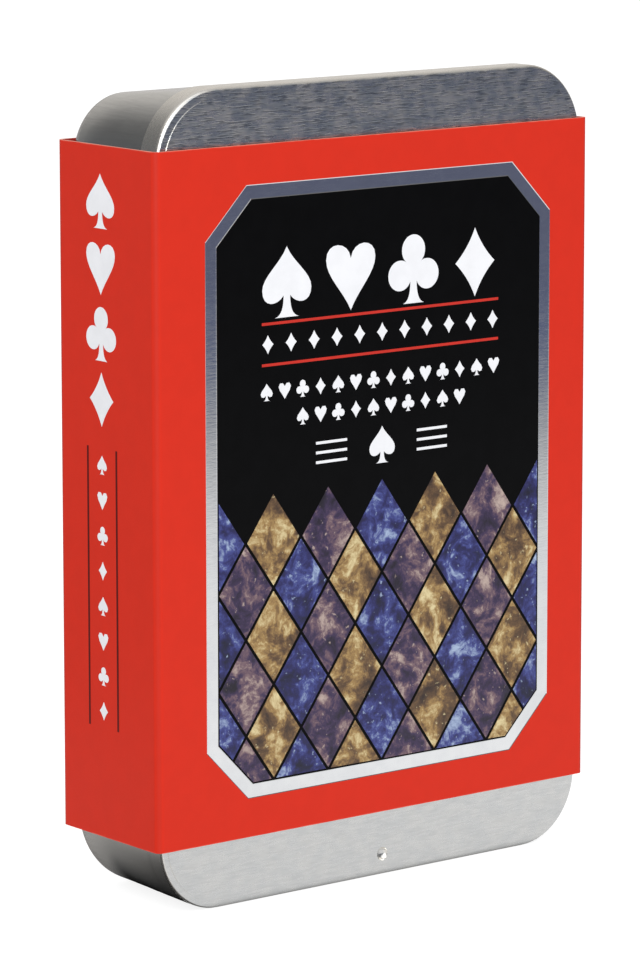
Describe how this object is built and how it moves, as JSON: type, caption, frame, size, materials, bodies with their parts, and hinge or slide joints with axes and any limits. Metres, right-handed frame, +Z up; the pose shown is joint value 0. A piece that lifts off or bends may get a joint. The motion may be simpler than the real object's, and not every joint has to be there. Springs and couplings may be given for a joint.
{
  "type": "playing card deck in tin",
  "caption": "Deck of playing cards in a flat tin that stands on end, with a sliding lid and a printed card sleeve with an octagonal foil frame.",
  "frame": {"origin": "on the ground under the middle of the sleeve, with the tin standing on its short lower end", "axes": "+Z up along the tin's length and the lid's travel, +X across the front, the front faces -Y"},
  "size_m": [0.07, 0.0208, 0.1],
  "materials": {
    "tinplate": "satin",
    "brushed_tinplate": "brushed",
    "sleeve_card": "printed, satin",
    "foil": "polished",
    "card_stock": "coated"
  },
  "bodies": {
    "tin": {"tin_body": "tinplate"},
    "lid": {"tin_lid": "brushed_tinplate"},
    "sleeve": {"sleeve": "sleeve_card", "foil_frame": "foil"},
    "deck": {"card_ace_of_clubs": "card_stock", "card_ace_of_diamonds": "card_stock", "card_ace_of_hearts": "card_stock", "card_ace_of_spades": "card_stock", "card_black_joker": "card_stock", "card_eight_of_clubs": "card_stock", "card_eight_of_diamonds": "card_stock", "card_eight_of_hearts": "card_stock", "card_eight_of_spades": "card_stock", "card_five_of_clubs": "card_stock", "card_five_of_diamonds": "card_stock", "card_five_of_hearts": "card_stock", "card_five_of_spades": "card_stock", "card_four_of_clubs": "card_stock", "card_four_of_diamonds": "card_stock", "card_four_of_hearts": "card_stock", "card_four_of_spades": "card_stock", "card_jack_of_clubs": "card_stock", "card_jack_of_diamonds": "card_stock", "card_jack_of_hearts": "card_stock", "card_jack_of_spades": "card_stock", "card_king_of_clubs": "card_stock", "card_king_of_diamonds": "card_stock", "card_king_of_hearts": "card_stock", "card_king_of_spades": "card_stock", "card_nine_of_clubs": "card_stock", "card_nine_of_diamonds": "card_stock", "card_nine_of_hearts": "card_stock", "card_nine_of_spades": "card_stock", "card_queen_of_clubs": "card_stock", "card_queen_of_diamonds": "card_stock", "card_queen_of_hearts": "card_stock", "card_queen_of_spades": "card_stock", "card_red_joker": "card_stock", "card_seven_of_clubs": "card_stock", "card_seven_of_diamonds": "card_stock", "card_seven_of_hearts": "card_stock", "card_seven_of_spades": "card_stock", "card_six_of_clubs": "card_stock", "card_six_of_diamonds": "card_stock", "card_six_of_hearts": "card_stock", "card_six_of_spades": "card_stock", "card_ten_of_clubs": "card_stock", "card_ten_of_diamonds": "card_stock", "card_ten_of_hearts": "card_stock", "card_ten_of_spades": "card_stock", "card_three_of_clubs": "card_stock", "card_three_of_diamonds": "card_stock", "card_three_of_hearts": "card_stock", "card_three_of_spades": "card_stock", "card_two_of_clubs": "card_stock", "card_two_of_diamonds": "card_stock", "card_two_of_hearts": "card_stock", "card_two_of_spades": "card_stock"}
  },
  "joints": [
    {"name": "lid_slide", "type": "slide", "parent": "tin", "child": "lid", "axis": [0, 0, 1], "range_m": [0, 0.076]},
    {"name": "sleeve_slide", "type": "slide", "parent": "tin", "child": "sleeve", "axis": [0, 0, 1], "range_m": [0, 0.1]},
    {"name": "deck_shift", "type": "slide", "parent": "tin", "child": "deck", "axis": [0, 0, 1], "range_m": [0, 0.003]}
  ]
}
